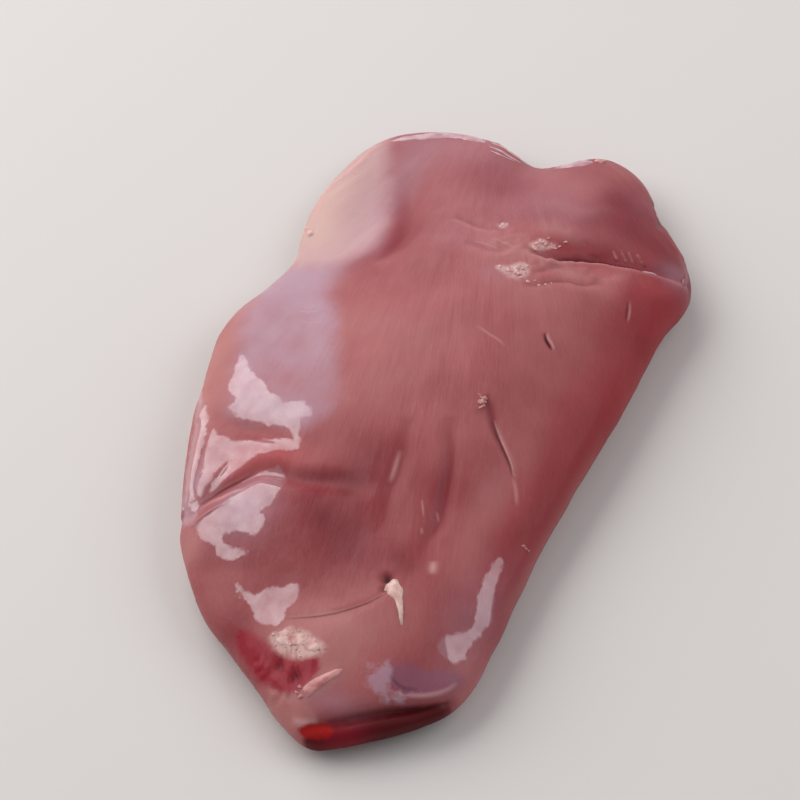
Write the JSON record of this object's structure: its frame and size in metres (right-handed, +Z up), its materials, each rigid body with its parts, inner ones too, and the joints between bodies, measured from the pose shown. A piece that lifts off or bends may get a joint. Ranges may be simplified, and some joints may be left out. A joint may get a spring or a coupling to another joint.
{
  "type": "duck breast",
  "caption": "Raw skinless duck breast, a thick pointed slab of dark meat with a fold, a cleft and wrinkles, lying flat.",
  "frame": {"origin": "middle of the box's underside, on the flat resting face", "axes": "+Z up, +Y along the breast from the pointed tail end to the broad wing end, +X across it to the thick side"},
  "size_m": [0.0922, 0.1684, 0.024],
  "materials": {
    "raw_meat": "soft, wet and glossy raw meat"
  },
  "bodies": {
    "root": {"duck_breast": "raw_meat"}
  },
  "joints": []
}
